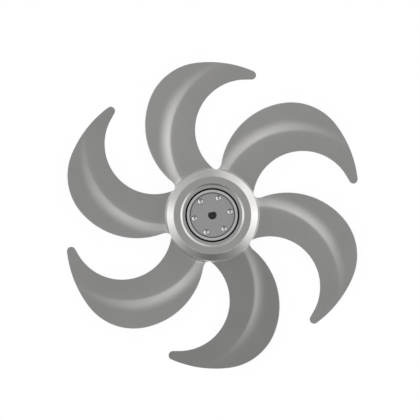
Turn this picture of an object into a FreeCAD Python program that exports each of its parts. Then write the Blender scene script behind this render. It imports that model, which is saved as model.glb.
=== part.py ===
import FreeCAD, Part
import math
import os
import Sketcher

# Axial fan impeller, 500 mm across, for a 14 mm shaft with one flat.
# A one-piece casting carries six sickle blades on a cup-shaped hub. A turned plate sits in the
# hub's front recess inside a rubber ring, and six dowel pins lock it to the hub's web. A
# flanged bush is pressed into the web from behind, and its set screw clamps the shaft.
# The axis is Z, the seen face looks to +Z, and the hub's rear rim lies in the plane Z = 0.

os.makedirs("parts", exist_ok=True)
doc = FreeCAD.newDocument("axial_fan_impeller")

# Driving dimensions, in millimetres, degrees or plain counts
SIZES = [
    ("blade_count", 6, "blades round the hub"),
    ("tip_radius", 250, "farthest reach of the blades"),
    ("outer_arc_radius", 180, "curve of the blade's outer edge"),
    ("outer_arc_lean", 5.4, "angle from the blade's axis to where the outer edge reaches farthest"),
    ("nose_radius", 7.2, "rounding of the hooked nose"),
    ("nose_reach", 63.8, "nose centre ahead of the blade's axis"),
    ("lead_bow", 28, "how far the leading edge bows behind the blade's axis"),
    ("lead_root", 7.3, "leading edge ahead of the blade's axis at the buried root"),
    ("trail_bow", 110, "how far the trailing edge bows behind the blade's axis"),
    ("trail_arc_radius", 120, "curve of the trailing edge"),
    ("trail_drop", 102.1, "centre of that curve below the blade's farthest reach"),
    ("shoulder_drop", 61, "start of the shoulder curve below the blade's farthest reach"),
    ("toe_height", 6.5, "trailing edge's toe above the hub wall"),
    ("toe_slant", 6.6, "toe's short edge longer than the straight way down to the root"),
    ("root_depth", 2.5, "blade root buried in the hub wall"),
    ("blade_pitch", 11.5, "blade slope ahead of the fold line"),
    ("fold_slope", 9, "extra slope of the riser behind the fold line"),
    ("fold_step", 3.5, "rear of the blade below the plane of its front"),
    ("fold_reach", 67, "how far the fold line bows behind the blade's axis"),
    ("fold_centre", 130, "distance up the blade at which the fold line bows most"),
    ("fold_radius", 130, "curve of the fold line seen from the front"),
    ("blade_thickness", 4, "blade thickness, measured along the shaft"),
    ("blade_margin", 8, "cutting profiles beyond the outline"),
    ("blade_level", 37, "height of the blade's front surface on its own axis"),
    ("hub_radius", 75, "outer radius of the hub"),
    ("hub_depth", 56, "hub from its rear rim to its front face"),
    ("hub_wall", 4, "side wall of the hub"),
    ("face_wall", 5, "front wall of the hub"),
    ("face_radius", 62.9, "edge between the flat face and the bevel"),
    ("bevel_drop", 7, "height of the bevel"),
    ("bevel_edge", 1.4, "width of the narrow steep edge between the bevel and the side wall"),
    ("bevel_edge_drop", 2.8, "height of that edge"),
    ("recess_depth", 4, "recess floor below the front face"),
    ("step_top_radius", 51.1, "top of the recess's sloping step"),
    ("step_foot_radius", 48.7, "foot of the recess's sloping step"),
    ("seat_radius", 43.7, "bore that the plate and its ring sit in"),
    ("seat_depth", 10, "seat below the front face"),
    ("web_thickness", 7, "web between the plate and the bush"),
    ("web_hole_radius", 16, "hole in the web"),
    ("collar_wall", 4.5, "wall round the seat"),
    ("rib_count", 6, "ribs behind the hub's face"),
    ("rib_thickness", 3.5, "thickness of each rib"),
    ("rib_drop", 22, "how far each rib falls from the web to the side wall"),
    ("rib_bite", 1, "how far the ribs run into the walls round them"),
    ("seal_width", 2.4, "gap that the rubber ring fills"),
    ("seal_clearance", 0.05, "play of the ring on each side"),
    ("seal_below", 0.8, "top of the ring below the recess floor"),
    ("plate_floor", 5, "thickness of the plate's floor"),
    ("plate_rim", 7, "height of the plate at its rim"),
    ("rim_width", 4.4, "width of the plate's raised rim"),
    ("relief_width", 1.4, "groove at the foot of the rim"),
    ("relief_depth", 1.2, "depth of that groove"),
    ("bore_radius", 7, "shaft bore"),
    ("flat_distance", 5.1, "flat of the bore from the axis"),
    ("flat_phase", 100.6, "direction that the flat looks from"),
    ("pin_count", 6, "dowel pins through the plate into the web"),
    ("pin_circle", 29.2, "radius of the circle that the pins stand on"),
    ("pin_phase", 10.6, "angle of the first pin"),
    ("pin_radius", 2.8, "outer radius of a pin"),
    ("pin_depth", 5, "how deep the pins stand in the web"),
    ("pin_play", 0.05, "pin holes wider than the pins"),
    ("mouth_radius", 5, "radius of each pin hole's countersunk mouth"),
    ("bush_flange_radius", 24, "flange behind the web"),
    ("bush_flange", 6, "thickness of that flange"),
    ("bush_radius", 15, "barrel of the bush"),
    ("bush_foot", 20, "barrel's end above the hub's rear rim"),
    ("bush_gap", 2, "top of the bush below the plate"),
    ("spigot_clearance", 0.02, "bush's spigot smaller than the web's hole"),
    ("grub_radius", 3, "nominal radius of the set screw"),
    ("thread_clearance", 0.05, "play that stands for the set screw's thread"),
    ("grub_length", 8, "length of the set screw"),
    ("grub_height", 26.5, "set screw's axis above the hub's rear rim"),
    ("grub_gap", 0.3, "set screw's point back from the bore, ready for the shaft"),
    ("grub_socket", 3, "across the flats of the set screw's socket"),
    ("grub_socket_depth", 3, "depth of that socket"),
]

SOCKET_SIDES = 6
FULL_TURN = 360

sheet = doc.addObject("Spreadsheet::Sheet", "Sizes")
size = {}
for row, (alias, value, meaning) in enumerate(SIZES, start=1):
    sheet.set(f"A{row}", meaning)
    sheet.set(f"B{row}", str(value))
    sheet.setAlias(f"B{row}", alias)
    size[alias] = value
doc.recompute()


def cells(expression):
    """The expression with each size's name turned into a reference to its cell."""
    words = []
    word = ""
    for letter in expression + " ":
        if letter.isalnum() or letter == "_":
            word += letter
            continue
        words.append(f"Sizes.{word}" if word in size else word)
        words.append(letter)
        word = ""
    return "".join(words).strip()


def value_of(expression):
    """The number that an expression gives, for the first place of a sketch's points."""
    return float(sheet.evalExpression(cells(expression)))


def origin_plane(body, role):
    """The body's own origin plane or axis of that role."""
    return next(item for item in body.Origin.OriginFeatures if item.Role == role)


def new_body(name):
    body = doc.addObject("PartDesign::Body", name)
    body.Label = name
    body.AllowCompound = True
    return body


def new_sketch(body, name, role, height="0", turn="0", turn_axis=(0, 0, 1)):
    """A sketch on one of the body's origin planes, lifted along its normal and then turned."""
    sketch = body.newObject("Sketcher::SketchObject", name)
    sketch.AttachmentSupport = (origin_plane(body, role), "")
    sketch.MapMode = "FlatFace"
    sketch.setExpression("AttachmentOffset.Base.z", cells(height))
    sketch.AttachmentOffset = FreeCAD.Placement(
        FreeCAD.Vector(0, 0, 0), FreeCAD.Rotation(FreeCAD.Vector(*turn_axis), value_of(turn))
    )
    sketch.setExpression("AttachmentOffset.Rotation.Angle", cells(turn))
    return sketch


def bind(sketch, constraint, expression):
    """Adds a constraint and ties its value to the sheet."""
    index = sketch.addConstraint(constraint)
    sketch.setExpression(f"Constraints[{index}]", cells(expression))
    return index


def place(sketch, geometry, end, across, up):
    """Ties one end of a curve to a place that the sheet gives."""
    bind(sketch, Sketcher.Constraint("DistanceX", -1, 1, geometry, end, value_of(across)), across)
    bind(sketch, Sketcher.Constraint("DistanceY", -1, 1, geometry, end, value_of(up)), up)


def profile(sketch, points):
    """A closed outline of straight edges through corners (across, up)."""
    corners = [FreeCAD.Vector(value_of(across), value_of(up), 0) for across, up in points]
    edges = [
        sketch.addGeometry(Part.LineSegment(here, there), False)
        for here, there in zip(corners, corners[1:] + corners[:1])
    ]
    for number, (across, up) in enumerate(points):
        sketch.addConstraint(Sketcher.Constraint("Coincident", edges[number - 1], 2, edges[number], 1))
        place(sketch, edges[number], 1, across, up)


def circle(sketch, across, up, radius):
    centre = FreeCAD.Vector(value_of(across), value_of(up), 0)
    ring = sketch.addGeometry(Part.Circle(centre, FreeCAD.Vector(0, 0, 1), value_of(radius)), False)
    place(sketch, ring, 3, across, up)
    bind(sketch, Sketcher.Constraint("Radius", ring, value_of(radius)), radius)
    return ring


def turned(body, name, points):
    """A solid turned about the axis from a half section."""
    sketch = new_sketch(body, name + "_section", "XZ_Plane")
    profile(sketch, points)
    solid = body.newObject("PartDesign::Revolution", name)
    solid.Profile = sketch
    solid.ReferenceAxis = (sketch, ["V_Axis"])
    solid.Angle = FULL_TURN
    doc.recompute()
    return solid


def around(body, name, feature, count, whole=False):
    """Copies of a feature, or of the whole body so far, evenly round the axis."""
    pattern = body.newObject("PartDesign::PolarPattern", name)
    if whole:
        pattern.TransformMode = "Whole shape"
    else:
        pattern.Originals = [feature]
    pattern.Axis = (origin_plane(body, "Z_Axis"), [""])
    pattern.Angle = FULL_TURN
    pattern.setExpression("Occurrences", cells(count))
    body.Tip = pattern
    doc.recompute()
    return pattern


def cut(body, name, sketch, length, both_ways=False):
    """A pocket of a given length, against the sketch's normal or evenly to both sides of it."""
    before = body.Shape.Volume
    pocket = body.newObject("PartDesign::Pocket", name)
    pocket.Profile = sketch
    if both_ways:
        pocket.SideType = "Symmetric"
    pocket.setExpression("Length", cells(length))
    body.Tip = pocket
    doc.recompute()
    if pocket.Shape.Volume >= before:
        raise RuntimeError(f"{name} cuts nothing")
    return pocket


# Blade outline, seen from the front with the blade pointing up
def blade_outline(body):
    outer_lift = size["tip_radius"] - size["outer_arc_radius"]
    lean = math.radians(size["outer_arc_lean"])
    outer_centre = FreeCAD.Vector(-outer_lift * math.sin(lean), outer_lift * math.cos(lean), 0)
    nose_lift = size["outer_arc_radius"] - size["nose_radius"]
    nose_up = math.sqrt(nose_lift**2 - (size["nose_reach"] - outer_centre.x) ** 2)
    nose_centre = FreeCAD.Vector(size["nose_reach"], outer_centre.y + nose_up, 0)
    nose_bottom = nose_centre.y - size["nose_radius"]
    root_radius = size["hub_radius"] - size["root_depth"]
    lead_foot = FreeCAD.Vector(size["lead_root"], math.sqrt(root_radius**2 - size["lead_root"] ** 2), 0)
    across = lead_foot.x + size["lead_bow"]
    up = nose_bottom - lead_foot.y
    lead_radius = across + up - math.sqrt(2 * across * up)
    lead_centre = FreeCAD.Vector(lead_radius - size["lead_bow"], nose_bottom - lead_radius, 0)
    trail_x = size["trail_arc_radius"] - size["trail_bow"]
    trail_centre = FreeCAD.Vector(trail_x, size["tip_radius"] - size["trail_drop"], 0)
    toe_radius = size["hub_radius"] + size["toe_height"]
    toe_up = (trail_centre.Length**2 + toe_radius**2 - size["trail_arc_radius"] ** 2) / 2
    toe_up /= trail_centre.Length
    toe_way = FreeCAD.Vector(trail_centre).normalize()
    toe_side = FreeCAD.Vector(-toe_way.y, toe_way.x, 0)
    toe = toe_way * toe_up + toe_side * math.sqrt(toe_radius**2 - toe_up**2)
    turn = math.asin((size["trail_drop"] - size["shoulder_drop"]) / size["trail_arc_radius"])
    out = FreeCAD.Vector(-math.cos(turn), math.sin(turn), 0)
    gap = trail_centre - outer_centre
    excess = size["outer_arc_radius"] - size["trail_arc_radius"]
    shorter = (gap.Length**2 - excess**2) / (2 * (excess - gap.dot(out)))
    shoulder_radius = size["trail_arc_radius"] - shorter
    shoulder_centre = trail_centre + out * shorter
    shoulder_foot = trail_centre + out * size["trail_arc_radius"]
    shoulder_way = (shoulder_centre - outer_centre).normalize()
    shoulder_top = outer_centre + shoulder_way * size["outer_arc_radius"]
    nose_top = outer_centre + (nose_centre - outer_centre).normalize() * size["outer_arc_radius"]
    toe_edge_length = toe_radius - root_radius + size["toe_slant"]
    toe_swing = (toe_radius**2 + root_radius**2 - toe_edge_length**2) / (2 * toe_radius * root_radius)
    toe_foot_turn = math.atan2(toe.y, toe.x) + math.acos(toe_swing)
    toe_foot = FreeCAD.Vector(math.cos(toe_foot_turn), math.sin(toe_foot_turn), 0) * root_radius

    def arc(centre, radius, start, end):
        """An arc run anticlockwise from start to end."""
        first = math.atan2(start.y - centre.y, start.x - centre.x)
        last = math.atan2(end.y - centre.y, end.x - centre.x)
        ring = Part.Circle(centre, FreeCAD.Vector(0, 0, 1), radius)
        return Part.ArcOfCircle(ring, first, last if last > first else last + 2 * math.pi)

    sketch = new_sketch(body, "outline", "XY_Plane")
    lead_top = FreeCAD.Vector(lead_centre.x, nose_bottom, 0)
    nose_foot = FreeCAD.Vector(nose_centre.x, nose_bottom, 0)
    outer, shoulder, trail, toe_edge, root, lead, throat, nose = sketch.addGeometry([
        arc(outer_centre, size["outer_arc_radius"], nose_top, shoulder_top),
        arc(shoulder_centre, shoulder_radius, shoulder_top, shoulder_foot),
        arc(trail_centre, size["trail_arc_radius"], shoulder_foot, toe),
        Part.LineSegment(toe, toe_foot),
        arc(FreeCAD.Vector(0, 0, 0), root_radius, lead_foot, toe_foot),
        arc(lead_centre, lead_radius, lead_top, lead_foot),
        Part.LineSegment(lead_top, nose_foot),
        arc(nose_centre, size["nose_radius"], nose_foot, nose_top),
    ], False)
    bow = sketch.addGeometry(Part.LineSegment(
        FreeCAD.Vector(-size["lead_bow"], lead_centre.y, 0),
        FreeCAD.Vector(-size["lead_bow"], lead_centre.y + size["nose_radius"], 0)), True)
    for one, one_end, other, other_end in [
        (nose, 2, outer, 1), (outer, 2, shoulder, 1), (shoulder, 2, trail, 1),
        (lead, 1, throat, 1), (throat, 2, nose, 1),
    ]:
        sketch.addConstraint(Sketcher.Constraint("Tangent", one, one_end, other, other_end))
    for one, one_end, other, other_end in [
        (trail, 2, toe_edge, 1), (toe_edge, 2, root, 2), (root, 1, lead, 2), (root, 3, -1, 1),
    ]:
        sketch.addConstraint(Sketcher.Constraint("Coincident", one, one_end, other, other_end))
    sketch.addConstraint(Sketcher.Constraint("Horizontal", throat))
    sketch.addConstraint(Sketcher.Constraint("Vertical", bow))
    sketch.addConstraint(Sketcher.Constraint("Tangent", bow, lead))
    bind(sketch, Sketcher.Constraint("DistanceX", -1, 1, bow, 1, -size["lead_bow"]), "-lead_bow")
    bind(sketch, Sketcher.Constraint("DistanceY", bow, 1, bow, 2, size["nose_radius"]), "nose_radius")
    sketch.addConstraint(Sketcher.Constraint("Horizontal", bow, 1, lead, 3))
    for curve, name in [(outer, "outer_arc_radius"), (trail, "trail_arc_radius"), (nose, "nose_radius")]:
        bind(sketch, Sketcher.Constraint("Radius", curve, size[name]), name)
    bind(sketch, Sketcher.Constraint("Radius", root, root_radius), "hub_radius - root_depth")
    lift = "(tip_radius - outer_arc_radius)"
    place(sketch, outer, 3, f"-{lift} * sin(outer_arc_lean)", f"{lift} * cos(outer_arc_lean)")
    bind(sketch, Sketcher.Constraint("DistanceX", -1, 1, nose, 3, size["nose_reach"]), "nose_reach")
    bind(sketch, Sketcher.Constraint("DistanceX", -1, 1, lead, 2, size["lead_root"]), "lead_root")
    place(sketch, trail, 3, "trail_arc_radius - trail_bow", "tip_radius - trail_drop")
    bind(sketch, Sketcher.Constraint("DistanceY", -1, 1, trail, 1, shoulder_foot.y),
         "tip_radius - shoulder_drop")
    bind(sketch, Sketcher.Constraint("Distance", -1, 1, trail, 2, toe_radius), "hub_radius + toe_height")
    bind(sketch, Sketcher.Constraint("Distance", toe_edge, 1, toe_edge, 2, toe_edge_length),
         "toe_height + root_depth + toe_slant")
    return sketch


# The blade's folded surface: a sloping plane ahead of the fold line, a riser behind it that slopes
# more, and the rest of the blade parallel to the front plane and a step lower. The riser is a wide
# cylinder that bends across its rulings, so its crest and its foot are curved lines.
def sloping_side(body, name, drop, edge):
    """A side view that ends in the blade's front plane, lowered by a drop, and in a level edge."""
    ahead = "(nose_reach + nose_radius + blade_margin)"
    behind = "(-trail_bow - blade_margin)"
    sketch = new_sketch(body, name, "XZ_Plane")
    profile(sketch, [
        (behind, f"blade_level + {behind} * tan(blade_pitch) - {drop}"),
        (ahead, f"blade_level + {ahead} * tan(blade_pitch) - {drop}"),
        (ahead, edge), (behind, edge),
    ])
    return sketch


def riser_side(body, name, drop, ceiling):
    """The riser seen along its rulings: everything above its arc."""
    slope = "(blade_pitch + fold_slope)"
    radius = "(fold_radius * cos(blade_pitch) / sin(fold_slope))"
    fold_up = f"(blade_level - fold_reach * tan(blade_pitch) - {drop})"
    crown = f"({fold_up} * cos({slope}) + fold_reach * sin({slope}))"
    outside = "(tip_radius + blade_margin)"
    sketch = new_sketch(body, name, "YZ_Plane", "0", f"-{slope}", (1, 0, 0))
    centre = FreeCAD.Vector(value_of("fold_centre"), value_of(f"{crown} - {radius}"), 0)
    ring = Part.Circle(centre, FreeCAD.Vector(0, 0, 1), value_of(radius))
    first = math.acos((value_of(outside) - centre.x) / ring.Radius)
    last = math.acos(-centre.x / ring.Radius)
    corners = [
        centre + FreeCAD.Vector(math.cos(last), math.sin(last), 0) * ring.Radius,
        FreeCAD.Vector(0, value_of(ceiling), 0),
        FreeCAD.Vector(value_of(outside), value_of(ceiling), 0),
        centre + FreeCAD.Vector(math.cos(first), math.sin(first), 0) * ring.Radius,
    ]
    crest, inner, top, outer = sketch.addGeometry(
        [Part.ArcOfCircle(ring, first, last)]
        + [Part.LineSegment(here, there) for here, there in zip(corners, corners[1:])], False)
    for one, other in [(crest, inner), (inner, top), (top, outer), (outer, crest)]:
        sketch.addConstraint(Sketcher.Constraint("Coincident", one, 2, other, 1))
    for wall in (inner, outer):
        sketch.addConstraint(Sketcher.Constraint("Vertical", wall))
    place(sketch, crest, 3, "fold_centre", f"{crown} - {radius}")
    bind(sketch, Sketcher.Constraint("Radius", crest, value_of(radius)), radius)
    place(sketch, top, 1, "0", ceiling)
    place(sketch, top, 2, outside, ceiling)
    return sketch


def folded_prism(name, drop):
    """The blade's outline raised as a prism and cut off along the folded surface, lowered by a drop."""
    ceiling = "(hub_depth + trail_bow)"
    everywhere = "2 * (tip_radius + blade_margin)"
    above = new_body(name + "_above")
    block = above.newObject("PartDesign::Pad", name + "_block")
    block.Profile = riser_side(above, name + "_riser", drop, ceiling)
    block.SideType = "Symmetric"
    block.setExpression("Length", cells(everywhere))
    doc.recompute()
    rear = sloping_side(above, name + "_rear", f"({drop} + fold_step)", "-hub_depth")
    cut(above, name + "_rear_cut", rear, everywhere, both_ways=True)

    body = new_body(name)
    prism = body.newObject("PartDesign::Pad", name + "_prism")
    prism.Profile = blade_outline(body)
    prism.setExpression("Length", cells("hub_depth"))
    doc.recompute()
    front = sloping_side(body, name + "_front", drop, ceiling)
    cut(body, name + "_front_cut", front, everywhere, both_ways=True)
    folded = body.newObject("PartDesign::Boolean", name + "_folded")
    folded.Type = "Cut"
    folded.addObjects([above])
    body.Tip = folded
    doc.recompute()
    return body


def blades():
    body = new_body("blade_ring")
    shell = body.newObject("PartDesign::Boolean", "blade_top")
    shell.Type = "Fuse"
    shell.addObjects([folded_prism("upper", "0")])
    blade = body.newObject("PartDesign::Boolean", "blade")
    blade.Type = "Cut"
    blade.addObjects([folded_prism("under", "blade_thickness")])
    body.Tip = blade
    doc.recompute()
    around(body, "blades", blade, "blade_count", whole=True)
    return body


# Hub: a cup turned in one profile, with ribs behind its face and blind pin holes in its web
def hub():
    body = new_body("hub")
    seat = "(hub_depth - seat_depth)"
    web = f"({seat} - web_thickness)"
    floor = "(hub_depth - recess_depth)"
    collar = "(seat_radius + collar_wall)"
    bore = "(hub_radius - hub_wall)"
    under_face = "(hub_depth - face_wall)"
    turned(body, "cup", [
        ("web_hole_radius", web), ("web_hole_radius", seat),
        ("seat_radius", seat), ("seat_radius", floor),
        ("step_foot_radius", floor), ("step_top_radius", "hub_depth"),
        ("face_radius", "hub_depth"), ("hub_radius - bevel_edge", "hub_depth - bevel_drop"),
        ("hub_radius", "hub_depth - bevel_drop - bevel_edge_drop"),
        ("hub_radius", "0"), (bore, "0"),
        (bore, f"{under_face} - bevel_drop"), ("face_radius - hub_wall", under_face),
        ("step_top_radius", under_face), (collar, f"{floor} - face_wall"),
        (collar, web),
    ])
    rib_sketch = new_sketch(body, "rib_section", "XZ_Plane")
    profile(rib_sketch, [
        (f"{collar} - rib_bite", web), (f"{bore} + rib_bite", f"{web} - rib_drop"),
        (f"{bore} + rib_bite", f"{under_face} - bevel_drop"),
        ("face_radius - hub_wall", f"{under_face} + rib_bite"),
        (f"{collar} - rib_bite", f"{floor} - face_wall + rib_bite"),
    ])
    rib = body.newObject("PartDesign::Pad", "rib")
    rib.Profile = rib_sketch
    rib.SideType = "Symmetric"
    rib.setExpression("Length", cells("rib_thickness"))
    doc.recompute()
    around(body, "ribs", rib, "rib_count")
    hole_sketch = new_sketch(body, "web_hole_place", "XY_Plane", seat, "pin_phase")
    circle(hole_sketch, "pin_circle", "0", "pin_radius + pin_play")
    hole = cut(body, "web_hole", hole_sketch, "pin_depth")
    around(body, "web_holes", hole, "pin_count")
    return body


def impeller():
    body = new_body("impeller")
    shell = hub()
    ring = blades()
    joined = body.newObject("PartDesign::Boolean", "casting")
    joined.Type = "Fuse"
    joined.addObjects([shell, ring])
    body.Tip = joined
    doc.recompute()
    return body


def d_bore(body, name, top, length):
    """A shaft bore with one flat, cut downwards from a level."""
    sketch = new_sketch(body, name + "_outline", "XY_Plane", top, "flat_phase - 90")
    half = math.acos(size["flat_distance"] / size["bore_radius"])
    ring = Part.Circle(FreeCAD.Vector(0, 0, 0), FreeCAD.Vector(0, 0, 1), size["bore_radius"])
    wall = sketch.addGeometry(Part.ArcOfCircle(ring, 0.5 * math.pi + half, 2.5 * math.pi - half), False)
    flat = sketch.addGeometry(
        Part.LineSegment(sketch.getPoint(wall, 2), sketch.getPoint(wall, 1)), False)
    sketch.addConstraint(Sketcher.Constraint("Coincident", wall, 3, -1, 1))
    sketch.addConstraint(Sketcher.Constraint("Coincident", wall, 2, flat, 1))
    sketch.addConstraint(Sketcher.Constraint("Coincident", flat, 2, wall, 1))
    sketch.addConstraint(Sketcher.Constraint("Horizontal", flat))
    bind(sketch, Sketcher.Constraint("Radius", wall, size["bore_radius"]), "bore_radius")
    bind(sketch, Sketcher.Constraint("DistanceY", -1, 1, flat, 1, size["flat_distance"]), "flat_distance")
    return cut(body, name, sketch, length)


# Plate: a turned disc with a raised rim and a relief groove at the rim's foot
def hub_plate():
    body = new_body("hub_plate")
    seat = "(hub_depth - seat_depth)"
    edge = "(seat_radius - seal_width)"
    floor = f"({seat} + plate_floor)"
    rim = f"({seat} + plate_rim)"
    rim_foot = f"({edge} - rim_width)"
    turned(body, "disc", [
        ("0", seat), (edge, seat), (edge, rim), (rim_foot, rim),
        (rim_foot, f"{floor} - relief_depth"),
        (f"{rim_foot} - relief_width", f"{floor} - relief_depth"),
        (f"{rim_foot} - relief_width", floor), ("0", floor),
    ])
    d_bore(body, "plate_bore", floor, "plate_floor")
    place_sketch = new_sketch(body, "plate_hole_place", "XY_Plane", floor, "pin_phase")
    circle(place_sketch, "pin_circle", "0", "pin_radius + pin_play")
    doc.recompute()
    hole = body.newObject("PartDesign::Hole", "plate_hole")
    hole.Profile = place_sketch
    hole.ThreadType = "None"
    hole.DepthType = "ThroughAll"
    hole.HoleCutType = "Countersink"
    hole.HoleCutCustomValues = True
    hole.setExpression("Diameter", cells("2 * (pin_radius + pin_play)"))
    hole.setExpression("HoleCutDiameter", cells("2 * mouth_radius"))
    hole.HoleCutCountersinkAngle = 90
    doc.recompute()
    around(body, "plate_holes", hole, "pin_count")
    return body


def seal_ring():
    body = new_body("seal_ring")
    seat = "(hub_depth - seat_depth)"
    top = "(hub_depth - recess_depth - seal_below)"
    inner = "(seat_radius - seal_width + seal_clearance)"
    outer = "(seat_radius - seal_clearance)"
    turned(body, "ring", [
        (inner, seat), (outer, seat), (outer, top), (inner, top),
    ])
    return body


# Pins: dowels that reach from the web's blind holes to the foot of the plate's countersinks
def plate_pins():
    body = new_body("plate_pins")
    back = "(hub_depth - seat_depth - pin_depth)"
    front = "(hub_depth - seat_depth + plate_floor - mouth_radius + pin_radius)"
    sketch = new_sketch(body, "pin_outline", "XY_Plane", back)
    circle(sketch, "pin_circle", "0", "pin_radius")
    pin = body.newObject("PartDesign::Pad", "pin")
    pin.Profile = sketch
    pin.setExpression("Length", cells(f"{front} - {back}"))
    doc.recompute()
    around(body, "pins", pin, "pin_count", whole=True)
    body.setExpression("Placement.Rotation.Angle", cells("pin_phase"))
    doc.recompute()
    return body


# Bush: a flange behind the web, a spigot pressed through it nearly to the plate, and a barrel
def shaft_bush():
    body = new_body("shaft_bush")
    web = "(hub_depth - seat_depth - web_thickness)"
    back = f"({web} - bush_flange)"
    spigot = "(web_hole_radius - spigot_clearance)"
    top = "(hub_depth - seat_depth - bush_gap)"
    turned(body, "barrel", [
        ("bore_radius", "bush_foot"), ("bush_radius", "bush_foot"), ("bush_radius", back),
        ("bush_flange_radius", back), ("bush_flange_radius", web), (spigot, web), (spigot, top),
        ("bore_radius", top),
    ])
    grub_sketch = new_sketch(body, "grub_hole_place", "XZ_Plane", "0", "flat_phase - 90", (0, 1, 0))
    circle(grub_sketch, "0", "grub_height", "grub_radius")
    cut(body, "grub_hole", grub_sketch, "bush_radius")
    return body


def grub_screw():
    body = new_body("grub_screw")
    thread = "(grub_radius - thread_clearance)"
    turned(body, "stud", [("0", "0"), (thread, "0"), (thread, "grub_length"), ("0", "grub_length")])
    side_turn = FULL_TURN / SOCKET_SIDES
    reach = f"(0.5 * grub_socket / cos({0.5 * side_turn}))"
    sketch = new_sketch(body, "socket_outline", "XY_Plane", "grub_length")
    profile(sketch, [
        (f"{reach} * cos({side_turn * corner})", f"{reach} * sin({side_turn * corner})")
        for corner in range(SOCKET_SIDES)
    ])
    cut(body, "socket", sketch, "grub_socket_depth")
    start = "(bore_radius + grub_gap)"
    body.setExpression("Placement", cells(
        f"placement(vector({start} * cos(flat_phase); {start} * sin(flat_phase); grub_height); "
        "rotation(vector(-sin(flat_phase); cos(flat_phase); 0); 90))"))
    doc.recompute()
    return body


nodes = [impeller(), hub_plate(), seal_ring(), plate_pins(), shaft_bush(), grub_screw()]
doc.recompute()

for item in doc.Objects:
    if "Invalid" in item.State or "Error" in item.State:
        raise RuntimeError(f"{item.Label} failed: {item.State}")
for node in nodes:
    if node.Shape.isNull() or not node.Shape.isValid():
        raise RuntimeError(f"{node.Label} has no valid shape")
for node in nodes:
    node.Shape.exportStep(f"parts/{node.Label}.step")
    box = node.Shape.optimalBoundingBox(False)
    print(f"{node.Label}: {len(node.Shape.Solids)} solids, {node.Shape.Volume / 1000:.1f} cm3, "
          f"z {box.ZMin:.1f} to {box.ZMax:.1f}, across {box.XLength:.1f} x {box.YLength:.1f}")
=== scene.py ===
import math

import bmesh
import bpy
import numpy as np
from bpy.props import FloatProperty, FloatVectorProperty, IntProperty, PointerProperty
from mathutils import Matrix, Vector


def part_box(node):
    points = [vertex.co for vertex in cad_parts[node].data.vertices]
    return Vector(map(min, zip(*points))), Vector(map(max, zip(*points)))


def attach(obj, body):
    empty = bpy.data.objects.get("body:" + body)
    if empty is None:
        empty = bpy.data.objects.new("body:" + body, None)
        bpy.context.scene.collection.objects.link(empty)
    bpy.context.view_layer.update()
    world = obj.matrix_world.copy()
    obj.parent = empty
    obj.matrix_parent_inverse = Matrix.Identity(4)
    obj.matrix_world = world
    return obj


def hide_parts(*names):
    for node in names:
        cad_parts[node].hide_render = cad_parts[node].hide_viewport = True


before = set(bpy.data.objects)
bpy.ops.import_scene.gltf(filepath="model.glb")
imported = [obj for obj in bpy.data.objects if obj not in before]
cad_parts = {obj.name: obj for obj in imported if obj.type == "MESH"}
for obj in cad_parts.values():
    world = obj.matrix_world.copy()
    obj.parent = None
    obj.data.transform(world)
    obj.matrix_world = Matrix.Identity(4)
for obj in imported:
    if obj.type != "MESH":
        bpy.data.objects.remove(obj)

bl_info = {
    "name": "Axial Fan Impeller",
    "version": (1, 0, 0),
    "blender": (4, 5, 0),
    "location": "View3D > Sidebar > Impeller",
    "description": "Fine surfaces, finishes and studio for an axial fan impeller",
    "category": "Add Mesh",
}

MM = 0.001
TURN = 2 * math.pi
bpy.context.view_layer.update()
SEAL_LOW, SEAL_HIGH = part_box("seal_ring")
PIN_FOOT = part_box("plate_pins")[0][2]
PLATE_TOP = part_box("hub_plate")[1][2]

# Points closer than JOINED are one point, and a corner rounded by SHARP looks sharp
JOINED = 0.001 * MM
SHARP = 0.02 * MM

# Steps round the axis of the turned pieces
HUB_STEPS = 264
RING_STEPS = 192
PIN_STEPS = 40

# Where a blade's columns lie on the plane in front of the fold and on the plane behind it, as
# shares of its width, closer together where the surface starts to bend
FRONT_COLUMNS = np.array([0, 0.02, 0.1, 0.2, 0.3, 0.4, 0.5, 0.6, 0.7, 0.8, 0.9, 0.97])
REAR_COLUMNS = np.array([0, 0.12, 0.3, 0.5, 0.7, 0.88, 0.97, 1])

# Limits, as shares of the width, that keep those columns in order where the blade grows narrow,
# and the least width that it is taken to have at the nose
EDGE_MOST = 0.3
FRONT_LEAST = 0.05
FRONT_MOST = 0.84
CREASE_MOST = 0.03
SLOPE_MOST = 0.9
THIN = 0.0001 * MM


# Sizes and colours that a user may change
def length(label, meaning, value):
    """A size given in millimetres."""
    return FloatProperty(
        name=label, description=meaning, default=value * MM, unit="LENGTH", precision=5)


def angle(label, meaning, value):
    """An angle given in degrees."""
    return FloatProperty(
        name=label, description=meaning, default=math.radians(value), subtype="ANGLE")


def number(label, meaning, value):
    """A plain number, such as a share or a strength."""
    return FloatProperty(name=label, description=meaning, default=value)


def tint(label, meaning, value):
    """A colour in linear light."""
    return FloatVectorProperty(
        name=label, description=meaning, default=value, subtype="COLOR", size=3, min=0, max=1)


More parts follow.
